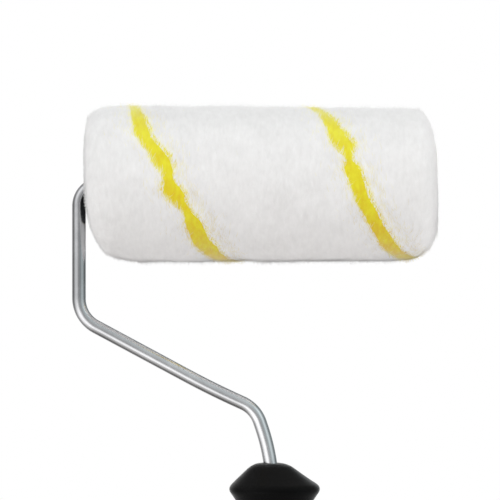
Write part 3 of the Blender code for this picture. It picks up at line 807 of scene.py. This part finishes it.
def build_stripe_bed(shade):
    """The dyed band itself: a thin closed strip set into the nap along the yellow line."""
    turns = np.arange(BED_START, BED_END, 1.0 / BED_STEPS_PER_TURN)
    third = turns / 3.0 % 1.0
    half = BED_WIDER * stripe_half_width(turns) + 0.1
    wobble = BED_WOBBLE * lattice_noise(third, np.full(len(turns), 0.4), 150, 4, 81)
    middle = stripe_x(turns) + BED_SWAY * lattice_noise(third, np.full(len(turns), 0.7), 170, 4, 82)
    u = turns % 1.0
    outer = []
    inner = []
    for a, up in zip(BED_ACROSS, BED_LIFT):
        x = middle + a * (half + wobble)
        s = place_on_nap(u, x)
        points, normals, _, real_x = nap_surface(u, s)
        height = nap_height(u, s, real_x)
        outer.append(points + normals * (height + up)[:, None])
        inner.append(points + normals * (height + min(up, 0.0) - BED_THICK)[:, None])
    rings = np.stack(outer + inner[::-1], axis=1)
    bed = tube("nap_yellow_bed", rings)
    shade.paint(bed)
    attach(bed, "cover")
    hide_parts("pile_stripe")


def blend_share(u, side, beyond):
    """Share of fibres that took some dye at a distance beyond the yellow line's edge, plus painted seam
    shadow right of the line, strongest at the nap's underside.
    """
    low = (1.0 - np.cos(2.0 * np.pi * u)) / 2.0
    # painted shadow: extra beige fibres along the seam valley right of the line, most at the underside
    seam = np.where(side > 0.0, 0.5 * low * np.exp(-(((beyond - 5.5) / 3.5) ** 2)), 0.0)
    return np.exp(-np.maximum(beyond, 0.0) / 2.8) + seam


def build_nap():
    white = nap_shade("white_nap", WHITE_DYE)
    base = nap_shade("white_nap_bed", WHITE_DYE, 0.12)
    yellow = nap_shade("yellow_nap", YELLOW_DYE, painted_underside_shade=0.12)
    dyed = nap_shade("yellow_nap_bed", YELLOW_DYE, 0.12, painted_underside_shade=0.12)
    fringe = nap_shade("fringe_nap", FRINGE_DYE, painted_underside_shade=0.12)
    bleed_and_painted_shade = nap_shade("blended_nap", BLEED_AND_PAINTED_SHADE, painted_underside_shade=0.12)
    build_nap_base(base)
    build_stripe_bed(dyed)
    rng = np.random.default_rng(5)
    pieces = 5
    blends = []
    for i in range(pieces):
        u, s = scatter(WHITE_PER_PIECE, rng)
        x = nap_surface(u, s)[3]
        d, half = stripe_distance(u, x)
        keep = np.abs(d) > LINE_WIDER * half + WHITE_GAP
        u, s, d, half = (values[keep] for values in (u, s, d, half))
        # fibres near the line take some dye; beige ones further right are painted seam shadow
        dye_bleed_and_seam_shade = rng.uniform(0.0, 1.0, len(u)) < blend_share(u, d, np.abs(d) - half)
        blends.append((u[dye_bleed_and_seam_shade], s[dye_bleed_and_seam_shade]))
        name = "nap_white_fuzz_%d" % (i + 1)
        build_fuzz(name, white, u[~dye_bleed_and_seam_shade], s[~dye_bleed_and_seam_shade], 40 + i, False)
    u, s = (np.concatenate(parts) for parts in zip(*blends))
    build_fuzz("nap_blended_fuzz", bleed_and_painted_shade, u, s, 59, False)
    u, s = scatter(YELLOW_TRIES, rng)
    x = nap_surface(u, s)[3]
    d, half = stripe_distance(u, x)
    edge = LINE_WIDER * half + FRINGE_WIDTH + FRINGE_RAGGED * lattice_noise(u, s, 110, 150, 52)
    solid = np.abs(d) < edge - FRINGE_WIDTH
    build_fuzz("nap_yellow_line", yellow, u[solid], s[solid], 60, True, YELLOW_LIFT)
    keep = (np.abs(d) < edge) & ~solid
    build_fuzz("nap_yellow_fringe", fringe, u[keep], s[keep], 61, True)


# ------------------------------------------------------------------ pieces that keep their CAD shape
def paint_nodes():
    steel = plain_steel("zinc_hardware", (0.66, 0.67, 0.69), 0.3)
    spring = plain_steel("drawn_spring_wire", (0.45, 0.46, 0.48), 0.34)
    socket = moulded_plastic("grey_socket_plastic", (0.13, 0.135, 0.14), 0.5)
    nylon = moulded_plastic("black_nylon", (0.022, 0.023, 0.025), 0.4, 0.025, 3000.0)
    acetal = moulded_plastic("natural_acetal", (0.74, 0.73, 0.68), 0.33, 0.01, 3000.0)
    tube_plastic = moulded_plastic("extruded_core", (0.58, 0.56, 0.50), 0.5, 0.02, 1500.0)
    groups = (
        (steel, ("inner_stop_collar", "inner_washer", "outer_washer")),
        (spring, ("push_nut", "cage_wire_1", "cage_wire_2", "cage_wire_3", "cage_wire_4", "cage_wire_5")),
        (socket, ("pole_insert",)),
        (nylon, ("inner_end_cap", "outer_end_cap", "centre_spider")),
        (acetal, ("inner_bush", "outer_bush")),
        (tube_plastic, ("core_tube",)),
    )
    for shade, names in groups:
        for name in names:
            shade.paint(NODES[name])


# ------------------------------------------------------------------ room, lights, camera
VIEW_TARGET = Vector((-0.0123, 0.0, 0.2369))
VIEW_DISTANCE = 1.5
VIEW_WIDTH = 0.2555
FLOOR_RADIUS = 1.05
FLOOR_Z = -0.0015
# brightness of the studio by direction; the three are multiplied together and by the strength
STUDIO_STRENGTH = 4.0
FRONT_TO_BACK = (
    (-1.0, 0.50), (-0.35, 0.50), (-0.12, 0.34), (0.08, 0.18), (0.60, 0.13), (0.78, 0.30), (1.0, 0.9),
)
LEFT_TO_RIGHT = (
    (-1.0, 0.60), (-0.9, 0.90), (-0.74, 1.0), (-0.55, 0.66), (-0.30, 0.46), (0.0, 0.40),
    (0.44, (0.345, 0.375, 0.38)), (0.62, (0.39, 0.435, 0.44)), (0.80, (0.68, 0.75, 0.76)),
    (0.94, (0.54, 0.60, 0.61)), (1.0, (0.66, 0.73, 0.74)),
)
FLOOR_TO_SKY = (
    (-1.0, (0.30, 0.29, 0.28)), (-0.87, (0.40, 0.39, 0.38)), (-0.75, (0.55, 0.54, 0.53)),
    (-0.5, (0.78, 0.77, 0.77)), (-0.25, (0.56, 0.56, 0.56)), (0.0, (0.5, 0.5, 0.5)),
    (0.3, (0.68, 0.68, 0.68)), (0.7, (0.86, 0.86, 0.86)), (1.0, (0.82, 0.82, 0.82)),
)
# one brighter reflector low on the left, in front: where it is, its edge and its middle as cosines
REFLECTOR_DIRECTION = (-0.42, -0.84, -0.35)
REFLECTOR_EDGE = 0.90
REFLECTOR_MIDDLE = 0.985
REFLECTOR_STRENGTH = 0.75


def build_floor():
    place = (0, 0, FLOOR_Z)
    bpy.ops.mesh.primitive_circle_add(vertices=96, radius=FLOOR_RADIUS, fill_type="NGON", location=place)
    floor = bpy.context.object
    floor.name = "studio_floor"
    Shade("pale_floor", (0.82, 0.82, 0.82), 0.75).paint(floor)
    # a translucent table top: the lamps under it stand for the light it gives off
    floor.visible_shadow = False
    floor.visible_diffuse = False
    floor.visible_glossy = False


def build_world():
    """White behind the object; softer greys in front, so that bright metal shows bands."""
    world = bpy.data.worlds.new("studio")
    bpy.context.scene.world = world
    world.use_nodes = True
    tree = world.node_tree
    coords = tree.nodes.new("ShaderNodeTexCoord")
    split = tree.nodes.new("ShaderNodeSeparateXYZ")
    tree.links.new(coords.outputs["Generated"], split.inputs["Vector"])

    def band(axis, stops):
        shift = tree.nodes.new("ShaderNodeMapRange")
        shift.inputs["From Min"].default_value = -1.0
        shift.inputs["From Max"].default_value = 1.0
        tree.links.new(split.outputs[axis], shift.inputs["Value"])
        ramp = tree.nodes.new("ShaderNodeValToRGB")
        elements = ramp.color_ramp.elements
        while len(elements) < len(stops):
            elements.new(0.5)
        for element, (place, colour) in zip(elements, stops):
            element.position = (place + 1.0) / 2.0
            colour = colour if isinstance(colour, tuple) else (colour, colour, colour)
            element.color = (*colour, 1.0)
        tree.links.new(shift.outputs["Result"], ramp.inputs["Fac"])
        return ramp.outputs["Color"]

    def multiply(a, b):
        node = tree.nodes.new("ShaderNodeVectorMath")
        node.operation = "MULTIPLY"
        tree.links.new(a, node.inputs[0])
        tree.links.new(b, node.inputs[1])
        return node.outputs["Vector"]

    depth = band("Y", FRONT_TO_BACK)
    across = band("X", LEFT_TO_RIGHT)
    height = band("Z", FLOOR_TO_SKY)
    lighting = tree.nodes["Background"]
    towards = tree.nodes.new("ShaderNodeVectorMath")
    towards.operation = "DOT_PRODUCT"
    tree.links.new(coords.outputs["Generated"], towards.inputs[0])
    towards.inputs[1].default_value = REFLECTOR_DIRECTION
    spot = tree.nodes.new("ShaderNodeMapRange")
    spot.interpolation_type = "SMOOTHSTEP"
    spot.inputs["From Min"].default_value = REFLECTOR_EDGE
    spot.inputs["From Max"].default_value = REFLECTOR_MIDDLE
    spot.inputs["To Max"].default_value = REFLECTOR_STRENGTH / STUDIO_STRENGTH
    tree.links.new(towards.outputs["Value"], spot.inputs["Value"])
    add = tree.nodes.new("ShaderNodeVectorMath")
    add.operation = "ADD"
    tree.links.new(multiply(multiply(depth, across), height), add.inputs[0])
    tree.links.new(spot.outputs["Result"], add.inputs[1])
    tree.links.new(add.outputs["Vector"], lighting.inputs["Color"])
    lighting.inputs["Strength"].default_value = STUDIO_STRENGTH
    path = tree.nodes.new("ShaderNodeLightPath")

    def background(colour):
        node = tree.nodes.new("ShaderNodeBackground")
        node.inputs["Color"].default_value = colour
        return node.outputs["Background"]

    def choose(factor, otherwise, wanted):
        node = tree.nodes.new("ShaderNodeMixShader")
        tree.links.new(factor, node.inputs["Fac"])
        tree.links.new(otherwise, node.inputs[1])
        tree.links.new(wanted, node.inputs[2])
        return node.outputs["Shader"]

    soft = background((0.02, 0.02, 0.02, 1.0))
    white = background((1.0, 1.0, 1.0, 1.0))
    lit = choose(path.outputs["Is Glossy Ray"], soft, lighting.outputs["Background"])
    seen = choose(path.outputs["Is Camera Ray"], lit, white)
    tree.links.new(seen, tree.nodes["World Output"].inputs["Surface"])
    world.cycles.sampling_method = "NONE"


def area_light(name, place, target, size, power, colour):
    data = bpy.data.lights.new(name, "AREA")
    data.shape = "RECTANGLE"
    data.size, data.size_y = size
    data.energy = power
    data.color = colour
    obj = bpy.data.objects.new(name, data)
    bpy.context.scene.collection.objects.link(obj)
    obj.location = place
    obj.rotation_euler = (Vector(target) - Vector(place)).to_track_quat("-Z", "Y").to_euler()
    return obj


def build_lights():
    middle = (0.0, 0.0, 0.24)
    for name, place, size, power, colour in (
        ("front_softbox", (0.1, -1.9, 0.75), (1.6, 1.2), 12.0, (1.0, 1.0, 1.0)),
        ("top_softbox", (0.0, -0.1, 1.7), (1.4, 1.4), 11.8, (0.99, 1.0, 1.0)),
        ("back_softbox", (0.0, 1.7, 0.5), (2.4, 1.6), 20.0, (1.0, 1.0, 1.0)),
        ("left_softbox", (-1.45, -0.55, 0.42), (1.0, 1.2), 15.5, (1.0, 1.0, 1.0)),
        ("right_softbox", (1.45, -0.55, 0.42), (1.0, 1.2), 16.0, (1.0, 1.0, 1.0)),
        ("table_glow_front", (0.0, -0.7, -0.6), (1.6, 1.0), 6.3, (1.0, 0.955, 0.935)),
        ("table_glow_back", (0.0, 0.7, -0.6), (1.6, 1.0), 8.6, (1.0, 0.97, 0.96)),
    ):
        light = area_light(name, place, middle, size, power, colour)
        light.data.cycles.use_multiple_importance_sampling = False
        light.visible_glossy = False
        light.visible_camera = False


def build_camera():
    data = bpy.data.cameras.new("view")
    data.sensor_width = 36.0
    data.lens = 36.0 * VIEW_DISTANCE / VIEW_WIDTH
    data.clip_end = 50.0
    camera = bpy.data.objects.new("view", data)
    bpy.context.scene.collection.objects.link(camera)
    camera.location = VIEW_TARGET - Vector((0.0, VIEW_DISTANCE, 0.0))
    camera.rotation_euler = (math.radians(90.0), 0.0, 0.0)
    bpy.context.scene.camera = camera


def main():
    build_camera()
    build_floor()
    build_world()
    build_lights()
    bpy.context.scene.view_settings.view_transform = "Standard"
    build_wire()
    build_handle()
    build_grip()
    build_nap()
    paint_nodes()
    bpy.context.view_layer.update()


main()
